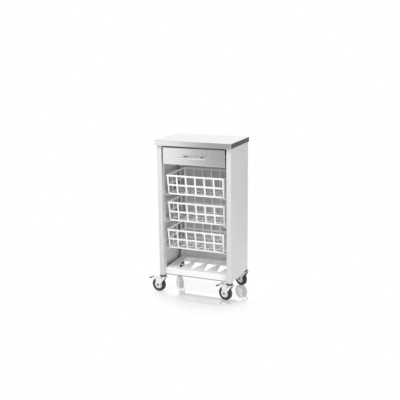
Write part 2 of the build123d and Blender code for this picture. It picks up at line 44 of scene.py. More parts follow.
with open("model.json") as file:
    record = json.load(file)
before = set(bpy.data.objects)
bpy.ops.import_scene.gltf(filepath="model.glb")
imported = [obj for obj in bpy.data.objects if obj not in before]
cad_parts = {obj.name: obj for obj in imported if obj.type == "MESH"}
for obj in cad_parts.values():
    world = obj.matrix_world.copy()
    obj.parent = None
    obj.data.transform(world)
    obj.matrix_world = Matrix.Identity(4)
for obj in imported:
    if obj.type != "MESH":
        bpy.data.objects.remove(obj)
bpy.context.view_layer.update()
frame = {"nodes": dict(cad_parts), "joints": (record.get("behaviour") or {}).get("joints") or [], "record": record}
JOINTS = {joint["name"]: joint for joint in frame["joints"]}
BASKETS = ("upper", "middle", "lower")
CASTERS = ("front_left", "front_right", "rear_left", "rear_right")
BRAKED_CASTERS = CASTERS[:2]
SIDES = ("left", "right")
X_AXIS = Vector((1, 0, 0))
Y_AXIS = Vector((0, 1, 0))
Z_AXIS = Vector((0, 0, 1))
MM = 0.001

# Limits that tell points, edges and directions apart

TINY = 1e-5
WELD = TINY / 10
SAME_WAY = 0.9
UPRIGHT = 0.5
FLAT_ANGLE = radians(0.5)
SHARP_ANGLE = radians(35)
WHEEL_SHARP_ANGLE = radians(40)
FOLD_ANGLE = radians(60)


# Settings


def number(name, description, default, **kind):
    return bpy.props.FloatProperty(name=name, description=description, default=default, **kind)


def length(name, description, millimetres):
    return number(name, description, millimetres * MM, unit="LENGTH", precision=4)


def angle(name, description, degrees):
    return number(name, description, radians(degrees), subtype="ANGLE")


def share(name, description, default):
    return number(name, description, default, subtype="FACTOR", min=0, max=1)


def count(name, description, default):
    return bpy.props.IntProperty(name=name, description=description, default=default, min=1)


def point(name, description, *metres):
    return bpy.props.FloatVectorProperty(name=name, description=description, default=metres, unit="LENGTH")


def colour(name, description, *default):
    return bpy.props.FloatVectorProperty(
        name=name, description=description, default=default, subtype="COLOR", min=0, max=1
    )


class SheetSettings(bpy.types.PropertyGroup):
    """Folded steel sheet."""

    gauge: length("Gauge", "Thickness of the panels, the worktop and the drawer front", 1.2)
    bend: length("Bend", "Outer radius of a fold", 2.0)
    lip: length("Lip", "Width of the lip round a side panel's open face", 40.0)
    edge: length("Edge", "Rounding of a cut edge", 0.35)
    bend_steps: count("Bend steps", "Faces round a fold", 3)


class BasketSettings(bpy.types.PropertyGroup):
    """Lattice baskets."""

    wall: length("Wall", "Thickness of the lattice", 2.0)
    bar: length("Bar", "Width of an upright bar", 9.0)
    middle_bar: length("Middle bar", "Width of the bar between the rows", 10.0)
    foot_bar: length("Foot bar", "Width of the bar above the basket's floor", 9.0)
    rim_band: length("Rim band", "Width of the band above the windows", 11.0)
    rim_lip: length("Rim lip", "Height of the rolled rim", 8.0)
    rim_proud: length("Rim proud", "How far the rim stands out", 1.5)
    side_draft: length("Side draft", "How far a side leans in at its foot", 3.0)
    front_draft: length("Front draft", "How far the front leans in at its foot", 16.0)
    corner: length("Corner", "Radius of the upright corners", 6.0)
    window_corner: length("Window corner", "Radius of a window's corners", 2.5)
    edge: length("Edge", "Rounding of the lattice's edges", 0.55)
    corner_steps: count("Corner steps", "Faces round an upright corner", 5)
    window_steps: count("Window steps", "Faces round a window's corner", 3)
    columns: count("Columns", "Windows across the front", 6)
    side_columns: count("Side columns", "Windows along a side", 4)
    rows: count("Rows", "Windows from foot to rim", 2)


class CasterSettings(bpy.types.PropertyGroup):
    """Swivel casters."""

    tyre_thickness: length("Tyre thickness", "From the core to the tread", 16.0)
    tyre_width: length("Tyre width", "Across the tread and the shoulders", 23.0)
    tyre_shoulder: length("Tyre shoulder", "Radius of the tyre's shoulders", 5.0)
    groove_depth: length("Groove depth", "Depth of the two tread grooves", 0.6)
    groove_width: length("Groove width", "Width of a tread groove", 1.0)
    groove_place: length("Groove place", "From the tread's middle to a groove", 3.4)
    tyre_edge: length("Tyre edge", "Rounding of the tyre's edges", 0.2)
    core_width: length("Core width", "Width of the wheel's rim", 20.0)
    core_rim: length("Core rim", "Width of the raised ring inside the tyre", 4.0)
    dish: length("Dish", "Depth of the wheel's dished face", 1.5)
    hub_radius: length("Hub radius", "Radius of the raised hub", 9.0)
    hub_width: length("Hub width", "Width of the hub", 26.0)
    bore: length("Bore", "Radius of the hole for the axle", 4.05)
    core_edge: length("Core edge", "Rounding of the wheel core's edges", 0.5)
    edge: length("Edge", "Rounding of a pressed edge", 0.45)
    toe_reach: length("Toe reach", "From the pedal's pin to the middle of its toe", 39.0)
    toe_lift: length("Toe lift", "Height of the toe above the pin", -11.0)
    toe_length: length("Toe length", "Length of the toe cap", 13.4)
    toe_width: length("Toe width", "Width of the toe cap", 30.0)
    toe_height: length("Toe height", "Height of the toe cap", 5.0)
    toe_edge: length("Toe edge", "Rounding of the toe cap's edges", 0.6)
    rib_height: length("Rib height", "Height of the ribs on a toe cap", 0.8)
    rib_share: share("Rib share", "Share of the toe cap's length that the ribs take", 0.7)
    ribs: count("Ribs", "Ribs side by side on a toe cap", 3)
    shoulder_steps: count("Shoulder steps", "Faces round a tyre's shoulder", 6)
    steps: count("Steps", "Faces round a wheel", 64)


class HandleSettings(bpy.types.PropertyGroup):
    """Drawer handle."""

    end_round: length("End round", "Rounding of the bar's ends", 1.2)
    rose_radius: length("Rose radius", "Radius of the small flange behind each post", 5.4)
    rose_height: length("Rose height", "Thickness of that flange", 1.6)
    spacing: length("Spacing", "Between the two posts", 96.0)
    post_radius: length("Post radius", "Radius of a post", 3.5)
    post_round: length("Post round", "Rounding of a post's edges", 0.4)
    steps: count("Steps", "Faces round the bar", 40)


class FinishSettings(bpy.types.PropertyGroup):
    """Colours of the finishes."""

    panel: colour("Panel paint", "Silver-grey satin powder coat", 0.63, 0.63, 0.62)
    white: colour("White paint", "White powder coat of the baskets and the shelf", 0.88, 0.88, 0.88)
    inside: colour("Drawer paint", "Grey paint inside the drawer", 0.60, 0.60, 0.60)
    steel: colour("Brushed steel", "Stainless worktop and drawer front", 0.84, 0.84, 0.83)
    handle: colour("Handle steel", "Polished steel of the handle", 0.95, 0.95, 0.94)
    # Painted shade: the handle's posts get near-black steel, which stands for the shade and dark reflection where
    # they meet the drawer front
    post: colour("Post steel", "Darker steel of the handle's posts", 0.25, 0.25, 0.25)
    zinc: colour("Zinc", "Bright zinc plate", 0.84, 0.85, 0.86)
    bearing: colour("Bearing steel", "Polished balls", 0.78, 0.78, 0.79)
    # Near-black swivel races; their dark also serves as painted shade for the narrow gap under each panel's foot
    race: colour("Race steel", "Black phosphated swivel races", 0.09, 0.09, 0.095)
    # A grey strip along the foot of the shelf's fascia; its dark grey is partly painted shade for the shaded line
    # there
    trim: colour("Trim plastic", "Grey strip below the shelf", 0.36, 0.36, 0.36)
    pedal: colour("Pedal steel", "Dark plate of the brake pedals", 0.11, 0.11, 0.115)
    axle: colour("Axle steel", "Oiled steel of the axles", 0.30, 0.30, 0.31)
    core: colour("Wheel plastic", "White moulded wheel core", 0.82, 0.82, 0.82)
    rubber: colour("Tyre rubber", "Black rubber", 0.022, 0.022, 0.024)
    board: colour("Core board", "Raw chipboard", 0.38, 0.33, 0.28)
    dust: colour("Dust", "Dust that settles low down", 0.42, 0.40, 0.37)


class StageSettings(bpy.types.PropertyGroup):
    """Camera, floor and even light."""

    azimuth: angle("Azimuth", "Camera's turn to the right", 23.03)
    elevation: angle("Elevation", "Camera's height angle", 13.29)
    roll: angle("Roll", "Camera's lean", -0.676)
    distance: length("Distance", "From the camera to the point it looks at", 3858.8)
    aim: point("Aim", "Point the camera looks at", -0.02165, 0, 0.52713)
    lens: number("Lens", "Focal length", 61.43, unit="CAMERA")
    sensor: number("Sensor", "Width of the film", 36.0, unit="CAMERA")
    floor_size: length("Floor", "Side of the floor", 5200.0)
    floor_middle: point("Floor middle", "Middle of the part of the floor that shows", 0.05, 0.08, 0)
    floor_near: length("Floor near", "Where the floor begins to fade", 220.0)
    floor_fade: length("Floor fade", "Where the floor has faded into the background", 500.0)
    mirror_near: length("Mirror near", "Where the floor's polish begins to fade", 270.0)
    mirror_fade: length("Mirror fade", "Where the floor's polish has faded", 340.0)
    polished: share("Polished", "Roughness of the polished floor", 0.03)
    matt: share("Matt", "Roughness of the floor further out", 0.6)
    floor: colour("Floor paint", "Tone of the floor as it lights the trolley", 0.8, 0.8, 0.8)
    floor_seen: colour("Floor seen", "Tone of the floor as the camera sees it", 0.36, 0.36, 0.36)
    floor_glow: share("Floor glow", "Light added to the floor as the camera sees it", 0.35)
    floor_index: number("Floor index", "Refractive index, for how much the floor mirrors", 6.0)
    ambient: share("Ambient", "Even light from all round", 0.48)


# Selecting and editing


def clear_selection():
    bpy.ops.object.select_all(action="DESELECT")


def choose(piece):
    """Makes one piece the only one selected."""
    clear_selection()
    piece.select_set(True)
    bpy.context.view_layer.objects.active = piece


@contextmanager
def editing(piece):
    """Edit mode on one piece alone."""
    choose(piece)
    bpy.ops.object.mode_set(mode="EDIT")
    yield
    bpy.ops.object.mode_set(mode="OBJECT")


def pick(piece, kind, test):
    """Selects the vertices, edges or faces that pass a test, in edit mode."""
    bpy.ops.mesh.select_mode(type={"verts": "VERT", "edges": "EDGE", "faces": "FACE"}[kind])
    bpy.ops.mesh.select_all(action="DESELECT")
    mesh = bmesh.from_edit_mesh(piece.data)
    mesh.normal_update()
    chosen = [element for element in getattr(mesh, kind) if test(element)]
    for element in chosen:
        element.select_set(True)
    mesh.select_flush_mode()
    bmesh.update_edit_mesh(piece.data)
    if not chosen:
        raise RuntimeError(f"{piece.name} has no {kind} at that place")


def cut(places, axis):
    """Cuts the mesh in edit mode across an axis at each place."""
    for distance in places:
        bpy.ops.mesh.select_all(action="SELECT")
        bpy.ops.mesh.bisect(plane_co=axis * distance, plane_no=axis)


def stand_proud(height):
    """Raises the faces chosen in edit mode, with walls round them."""
    bpy.ops.mesh.extrude_region_shrink_fatten(TRANSFORM_OT_shrink_fatten={"value": height})


def apply_modifier(piece, kind, **values):
    choose(piece)
    bpy.ops.object.modifier_add(type=kind)
    modifier = piece.modifiers[-1]
    for key, value in values.items():
        setattr(modifier, key, value)
    bpy.ops.object.modifier_apply(modifier=modifier.name)


def round_edges(piece, width, segments=2, sharp=SHARP_ANGLE):
    """Rounds the sharp edges and keeps the flats flat."""
    choose(piece)
    bpy.ops.object.shade_smooth()
    limit = {"limit_method": "ANGLE", "angle_limit": sharp, "use_clamp_overlap": False}
    apply_modifier(piece, "BEVEL", width=width, segments=segments, **limit)
    apply_modifier(piece, "WEIGHTED_NORMAL", keep_sharp=True, weight=100)


def block(name, low, high):
    """A box between two corners, to be shaped further."""
    low, high = Vector(low), Vector(high)
    clear_selection()
    bpy.ops.mesh.primitive_cube_add(size=1, location=(low + high) / 2, scale=high - low)
    bpy.ops.object.transform_apply(location=True, rotation=True, scale=True)
    piece = bpy.context.object
    piece.name = name
    return piece


def lathe(name, profile, steps):
    """Draws a profile of points, each a radius and a place along Y, and spins it about the Y axis."""
    points = [Vector((radius, along, 0)) for radius, along in profile]
    clear_selection()
    bpy.ops.mesh.primitive_plane_add(size=MM)
    piece = bpy.context.object
    piece.name = name
    with editing(piece):
        bpy.ops.mesh.select_mode(type="VERT")
        bpy.ops.mesh.select_all(action="SELECT")
        bpy.ops.mesh.merge(type="CENTER")
        bpy.ops.transform.translate(value=points[0])
        for before, after in zip(points, points[1:]):
            bpy.ops.mesh.extrude_vertices_move(TRANSFORM_OT_translate={"value": after - before})
        bpy.ops.mesh.select_all(action="SELECT")
        bpy.ops.mesh.spin(steps=steps, angle=2 * pi, center=(0, 0, 0), axis=Y_AXIS)
        bpy.ops.mesh.select_all(action="SELECT")
        bpy.ops.mesh.remove_doubles(threshold=WELD)
        bpy.ops.mesh.normals_make_consistent(inside=False)
    return piece


def place(piece, location, turn=0.0):
    """Puts a piece modelled at the origin in its place, with the place in its mesh."""
    choose(piece)
    piece.location = location
    piece.rotation_euler = (0, 0, turn)
    bpy.ops.object.transform_apply(location=True, rotation=True, scale=True)


def duplicate(piece, name):
    """A copy with its own mesh."""
    copy = piece.copy()
    copy.data = piece.data.copy()
    copy.name = name
    bpy.context.scene.collection.objects.link(copy)
    return copy


def discard(piece):
    bpy.data.meshes.remove(piece.data)


def copy_of_node(node, name):
    """A node's mesh as a new piece, with its triangles joined into flats."""
    piece = bpy.data.objects.new(name, frame["nodes"][node].data.copy())
    bpy.context.scene.collection.objects.link(piece)
    with editing(piece):
        bpy.ops.mesh.customdata_custom_splitnormals_clear()
        bpy.ops.mesh.select_all(action="SELECT")
        bpy.ops.mesh.remove_doubles(threshold=WELD)
        bpy.ops.mesh.dissolve_limited(angle_limit=FLAT_ANGLE)
    return piece


def settle(piece, body, slot, *nodes, finish=None):
    """Finishes a piece, rides it on its body and hides the nodes it stands for."""
    piece.data.materials.clear()
    piece.data.materials.append(FINISHES[finish or slot])
    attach(piece, body)
    if nodes:
        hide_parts(*nodes)


def tray(name, low, high, open_side, sheet, lip=0.0):
    """A box of folded sheet with one side open, with a lip round the opening if it has one."""
    piece = block(name, low, high)
    middle = (low + high) / 2
    size = high - low
    inwards = Vector((1, 1, 1))
    for axis in range(3):
        if abs(open_side[axis]) < TINY:
            inwards[axis] -= 2 * lip / size[axis]
    with editing(piece):
        pick(piece, "faces", lambda face: face.normal.dot(open_side) > SAME_WAY)
        bpy.ops.mesh.delete(type="FACE")
        if lip:
            pick(piece, "edges", lambda edge: edge.is_boundary)
            bpy.ops.mesh.extrude_edges_move()
            bpy.ops.transform.resize(value=inwards, center_override=middle)
        pick(piece, "edges", lambda edge: not edge.is_boundary and edge.calc_face_angle() > FOLD_ANGLE)
        bpy.ops.mesh.bevel(offset=sheet.bend, segments=sheet.bend_steps, affect="EDGES")
    apply_modifier(piece, "SOLIDIFY", thickness=sheet.gauge, offset=-1, use_even_offset=True)
    round_edges(piece, sheet.edge)
    return piece


# Shader groups and finishes

WHITE = (1, 1, 1, 1)
NOISE_RANGE = (0.3, 0.7)
PATCH_RANGE = (0.38, 0.72)
DUSTY_FACING = (-0.6, 1.0)
BRUSH_LINES = (14.0, 2600.0, 2600.0)
FINISHES = {}


def add_node(tree, kind, inputs=None, **values):
    """A shader node with its values set and its inputs linked."""
    node = tree.nodes.new(kind)
    for key, value in values.items():
        setattr(node, key, value)
    for socket, value in (inputs or {}).items():
        if isinstance(value, bpy.types.NodeSocket):
            tree.links.new(value, node.inputs[socket])
        else:
            node.inputs[socket].default_value = value
    return node


def shader_group(name, inputs, outputs):
    """An empty group with named sockets, and its input and output nodes."""
    tree = bpy.data.node_groups.new(name, "ShaderNodeTree")
    for label, kind in inputs.items():
        tree.interface.new_socket(label, in_out="INPUT", socket_type=kind)
    for label in outputs:
        tree.interface.new_socket(label, in_out="OUTPUT", socket_type="NodeSocketFloat")
    return tree, tree.nodes.new("NodeGroupInput"), tree.nodes.new("NodeGroupOutput")


def spread(tree, value, low, high):
    """Stretches the part of a value between two limits to the range from 0 to 1."""
    inputs = {"Value": value, "From Min": low, "From Max": high}
    return add_node(tree, "ShaderNodeMapRange", inputs).outputs["Result"]


def combine(tree, operation, *values):
    """The result of one math node."""
    inputs = dict(enumerate(values))
    return add_node(tree, "ShaderNodeMath", inputs, operation=operation).outputs["Value"]


def noise(tree, vector, **inputs):
    return add_node(tree, "ShaderNodeTexNoise", {"Vector": vector, **inputs}).outputs["Fac"]


def brush_group():
    """Long thin lines, as left by a brushing belt."""
    tree, given, result = shader_group(
        "Brush Lines", {"Vector": "NodeSocketVector", "Lines": "NodeSocketVector"}, ("Fine", "Broad")
    )
    factors = {0: given.outputs["Vector"], 1: given.outputs["Lines"]}
    stretched = add_node(tree, "ShaderNodeVectorMath", factors, operation="MULTIPLY").outputs["Vector"]
    fine = noise(tree, stretched, Scale=1.0, Detail=3.0)
    broad = noise(tree, stretched, Scale=0.12, Detail=2.0)
    tree.links.new(spread(tree, fine, *NOISE_RANGE), result.inputs["Fine"])
    tree.links.new(spread(tree, broad, *NOISE_RANGE), result.inputs["Broad"])
    return tree


def surface_group():
    """A fine skin, such as orange peel or moulding texture, and a slow drift over the surface."""
    tree, given, result = shader_group(
        "Surface Texture", {"Vector": "NodeSocketVector", "Grain": "NodeSocketFloat"}, ("Skin", "Drift")
    )
    skin = noise(tree, given.outputs["Vector"], Scale=given.outputs["Grain"], Detail=2.0)
    drift = noise(tree, given.outputs["Vector"], Scale=9.0, Detail=3.0)
    tree.links.new(skin, result.inputs["Skin"])
    tree.links.new(spread(tree, drift, *NOISE_RANGE), result.inputs["Drift"])
    return tree


def dust_group():
    """Patchy dust, most of it near the floor and on faces that look up."""
    tree, given, result = shader_group(
        "Settled Dust", {"Vector": "NodeSocketVector", "Reach": "NodeSocketFloat"}, ("Mask",)
    )
    spot = add_node(tree, "ShaderNodeSeparateXYZ", {"Vector": given.outputs["Vector"]})
    near_floor = spread(tree, spot.outputs["Z"], given.outputs["Reach"], 0.0)
    patches = noise(tree, given.outputs["Vector"], Scale=60.0, Detail=5.0, Roughness=0.7)
    normal = add_node(tree, "ShaderNodeNewGeometry").outputs["Normal"]
    facing = add_node(tree, "ShaderNodeSeparateXYZ", {"Vector": normal})
    upwards = spread(tree, facing.outputs["Z"], *DUSTY_FACING)
    patchy = combine(tree, "MULTIPLY", spread(tree, patches, *PATCH_RANGE), near_floor)
    tree.links.new(combine(tree, "MULTIPLY", patchy, upwards), result.inputs["Mask"])
    return tree


class Finish:
    """One material, kept by its name: its nodes and the sockets that most finishes share."""

    groups = {}

    def __init__(self, name, **constants):
        self.material = bpy.data.materials.new(name)
        FINISHES[name] = self.material
        self.material.use_nodes = True
        self.tree = self.material.node_tree
        self.shader = self.tree.nodes["Principled BSDF"]
        self.place = self.add("ShaderNodeTexCoord").outputs["Object"]
        for socket, value in constants.items():
            self.shader.inputs[socket.replace("_", " ")].default_value = value

    def add(self, kind, inputs=None, **values):
        return add_node(self.tree, kind, inputs, **values)

    def group(self, build, **inputs):
        """One of the shared groups, built the first time that it is asked for."""
        if build not in Finish.groups:
            Finish.groups[build] = build()
        node = self.add("ShaderNodeGroup", node_tree=Finish.groups[build])
        self.tree.links.new(self.place, node.inputs["Vector"])
        for socket, value in inputs.items():
            node.inputs[socket].default_value = value
        return node.outputs

    def blend(self, factor, first, second):
        """A colour between two colours; a mix node's sockets share names, so they go by number."""
        inputs = {0: factor, 6: opaque(first), 7: opaque(second)}
        return self.add("ShaderNodeMix", inputs, data_type="RGBA").outputs[2]

    def vary(self, factor, base, darkest, palest):
        """A colour between a darker and a paler shade of the base."""
        return self.blend(factor, shade(base, darkest), shade(base, palest))

    def scaled(self, value, low, high):
        inputs = {"Value": value, "To Min": low, "To Max": high}
        return self.add("ShaderNodeMapRange", inputs).outputs["Result"]

    def about(self, value, middle, less, more):
        return self.scaled(value, middle - less, middle + more)

    def settled(self, reach, most):
        """How much dust lies on the surface."""
        return self.scaled(self.group(dust_group, Reach=reach)["Mask"], 0.0, most)

    def feed(self, socket, value):
        self.tree.links.new(value, self.shader.inputs[socket])

    def bump(self, height, strength, depth):
        inputs = {"Height": height, "Strength": strength, "Distance": depth}
        self.feed("Normal", self.add("ShaderNodeBump", inputs).outputs["Normal"])

    def mix_surface(self, factor, first, second):
        """Puts a mix of two shaders on the surface."""
        mix = self.add("ShaderNodeMixShader", {0: factor, 1: first, 2: second})
        output = self.tree.nodes["Material Output"]
        self.tree.links.new(mix.outputs["Shader"], output.inputs["Surface"])


def opaque(value):
    return value if isinstance(value, bpy.types.NodeSocket) else (*value[:3], 1.0)


def shade(value, factor):
    return tuple(min(1.0, channel * factor) for channel in value[:3])


def paint_finish(name, base, dust, roughness, dust_reach):
    """Satin powder coat: orange peel, slight drift in tone and dust low down."""
    finish = Finish(name, Metallic=0.0, IOR=1.5)
    texture = finish.group(surface_group, Grain=900.0)
    tone = finish.vary(texture["Drift"], base, darkest=0.975, palest=1.015)
    settled = finish.settled(dust_reach, most=0.28)
    finish.feed("Base Color", finish.blend(settled, tone, dust))
    finish.feed("Roughness", finish.about(texture["Drift"], roughness, less=0.05, more=0.05))
    finish.bump(texture["Skin"], strength=0.12, depth=0.15 * MM)


def brushed_finish(name, base, roughness):
    """Brushed stainless steel, with its lines along the X axis."""
    finish = Finish(name, Metallic=1.0)
    brush = finish.group(brush_group, Lines=BRUSH_LINES)
    texture = finish.group(surface_group, Grain=400.0)
    tone = finish.vary(brush["Fine"], base, darkest=0.97, palest=1.02)
    bright = finish.scaled(brush["Broad"], low=0.0, high=0.15)
    finish.feed("Base Color", finish.blend(bright, tone, shade(base, 1.06)))
    streaks = finish.about(brush["Broad"], roughness, less=0.02, more=0.02)
    clouds = finish.about(texture["Drift"], 0.0, less=0.01, more=0.01)
    finish.feed("Roughness", combine(finish.tree, "ADD", streaks, clouds))
    finish.bump(brush["Fine"], strength=0.05, depth=0.03 * MM)


def plated_finish(name, base, dust, roughness, metallic=1.0):
    """Bright plate over pressed steel: faint clouding in tone and gloss, dulled near the floor."""
    finish = Finish(name)
    texture = finish.group(surface_group, Grain=260.0)
    tone = finish.vary(texture["Skin"], base, darkest=0.92, palest=1.06)
    settled = finish.settled(reach=0.12, most=0.3)
    finish.feed("Base Color", finish.blend(settled, tone, dust))
    finish.feed("Metallic", finish.scaled(settled, low=metallic, high=0.2))
    finish.feed("Roughness", finish.about(texture["Drift"], roughness, less=0.07, more=0.1))
    finish.bump(texture["Skin"], strength=0.08, depth=0.1 * MM)


def moulded_finish(name, base, dust, roughness, grain, most_dust):
    """Moulded plastic or rubber, or a matt black coat: fine grain, and dust near the floor."""
    finish = Finish(name, Metallic=0.0, IOR=1.48)
    texture = finish.group(surface_group, Grain=grain)
    tone = finish.vary(texture["Drift"], base, darkest=0.9, palest=1.08)
    settled = finish.settled(reach=0.11, most=most_dust)
    finish.feed("Base Color", finish.blend(settled, tone, dust))
    finish.feed("Roughness", finish.about(texture["Skin"], roughness, less=0.08, more=0.08))
    finish.bump(texture["Skin"], strength=0.2, depth=0.12 * MM)


def board_finish(name, base):
    """Raw chipboard: pale and dark chips."""
    finish = Finish(name, Metallic=0.0, Roughness=0.85)
    chips = finish.add("ShaderNodeTexVoronoi", {"Vector": finish.place, "Scale": 240.0})
    texture = finish.group(surface_group, Grain=700.0)
    parts = finish.add("ShaderNodeSeparateColor", {"Color": chips.outputs["Color"]})
    chip = finish.vary(parts.outputs["Red"], base, darkest=0.6, palest=1.35)
    finish.feed("Base Color", finish.blend(texture["Drift"], chip, base))
    finish.bump(chips.outputs["Distance"], strength=0.3, depth=0.2 * MM)


# Operators


class TROLLEY_OT_finishes(bpy.types.Operator):
    """Build the finishes and give each carried-over node its own"""

    bl_idname = "trolley.finishes"
    bl_label = "Finishes"

    def execute(self, context):
        tint = context.scene.trolley_finishes
        dust = tint.dust
        paint_finish("panel_paint", tint.panel, dust, roughness=0.42, dust_reach=0.25)
        paint_finish("white_paint", tint.white, dust, roughness=0.36, dust_reach=0.12)
        paint_finish("drawer_paint", tint.inside, dust, roughness=0.45, dust_reach=0.25)
        brushed_finish("brushed_steel", tint.steel, roughness=0.18)
        brushed_finish("handle_steel", tint.handle, roughness=0.08)
        # Dark steel for the posts, as painted shade round them
        brushed_finish("post_steel", tint.post, roughness=0.2)
        plated_finish("zinc", tint.zinc, dust, roughness=0.26, metallic=0.5)
        plated_finish("bearing_steel", tint.bearing, dust, roughness=0.1)
        plated_finish("pedal_steel", tint.pedal, dust, roughness=0.24)
        plated_finish("axle_steel", tint.axle, dust, roughness=0.3)
        # The races' near-black is partly painted shade for the gap under the panels
        moulded_finish("race_steel", tint.race, dust, roughness=0.5, grain=700.0, most_dust=0.15)
        # The strip's dark grey is partly painted shade along the fascia's foot
        moulded_finish("trim_plastic", tint.trim, dust, roughness=0.5, grain=900.0, most_dust=0.15)
        moulded_finish("wheel_plastic", tint.core, dust, roughness=0.4, grain=1200.0, most_dust=0.18)
        moulded_finish("tyre_rubber", tint.rubber, dust, roughness=0.55, grain=1600.0, most_dust=0.22)
        board_finish("core_board", tint.board)
        for part in frame["record"]["subparts"]:
            finish = "axle_steel" if part["node"].endswith("_axle") else part["material_slot"]
            for holder in frame["nodes"][part["node"]].material_slots:
                holder.material = FINISHES[finish]
        return {"FINISHED"}


class TROLLEY_OT_panels(bpy.types.Operator):
    """Fold the two side panels"""

    bl_idname = "trolley.panels"
    bl_label = "Side Panels"

    def execute(self, context):
        sheet = context.scene.trolley_sheet
        for side, inwards in zip(SIDES, (1, -1)):
            node = f"{side}_side_panel"
            panel = tray(f"{node}_folded", *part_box(node), X_AXIS * inwards, sheet, sheet.lip)
            settle(panel, "cabinet", "panel_paint", node)
        return {"FINISHED"}


class TROLLEY_OT_worktop(bpy.types.Operator):
    """Fold the worktop's steel skin"""

    bl_idname = "trolley.worktop"
    bl_label = "Worktop"

    def execute(self, context):
        sheet = context.scene.trolley_sheet
        node = "worktop_skin"
        skin = tray(f"{node}_folded", *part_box(node), -Z_AXIS, sheet)
        settle(skin, "cabinet", "brushed_steel", node)
        return {"FINISHED"}


class TROLLEY_OT_drawer_front(bpy.types.Operator):
    """Fold the drawer's steel front"""

    bl_idname = "trolley.drawer_front"
    bl_label = "Drawer Front"

    def execute(self, context):
        sheet = context.scene.trolley_sheet
        node = "drawer_front"
        front = tray(f"{node}_folded", *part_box(node), Y_AXIS, sheet)
        settle(front, "drawer", "brushed_steel", node)
        return {"FINISHED"}


class TROLLEY_OT_handle(bpy.types.Operator):
    """Turn the handle's bar and its two posts"""

    bl_idname = "trolley.handle"
    bl_label = "Handle"

    def execute(self, context):
        sizes = context.scene.trolley_handle
        low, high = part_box("handle_bar")
        middle = (low + high) / 2
        radius, half = (high.z - low.z) / 2, (high.x - low.x) / 2
        bar_profile = [(0, -half), (radius, -half), (radius, half), (0, half)]
        bar = lathe("handle_bar_turned", bar_profile, sizes.steps)
        round_edges(bar, sizes.end_round, segments=4)
        place(bar, middle, -pi / 2)
        settle(bar, "drawer", "handle_steel", "handle_bar")
        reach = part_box("handle_posts")[1].y - middle.y
        neck = reach - sizes.rose_height
        post_profile = [
            (0, 0),
            (sizes.post_radius, 0),
            (sizes.post_radius, neck),
            (sizes.rose_radius, neck),
            (sizes.rose_radius, reach),
            (0, reach),
        ]
        posts = lathe("handle_posts_turned", post_profile, sizes.steps)
        round_edges(posts, sizes.post_round)
        second = duplicate(posts, "second_post")
        place(posts, middle - X_AXIS * sizes.spacing / 2)
        place(second, middle + X_AXIS * sizes.spacing / 2)
        posts.select_set(True)
        context.view_layer.objects.active = posts
        bpy.ops.object.join()
        # The posts take the dark steel: painted shade
        settle(posts, "drawer", "handle_steel", "handle_posts", finish="post_steel")
        return {"FINISHED"}


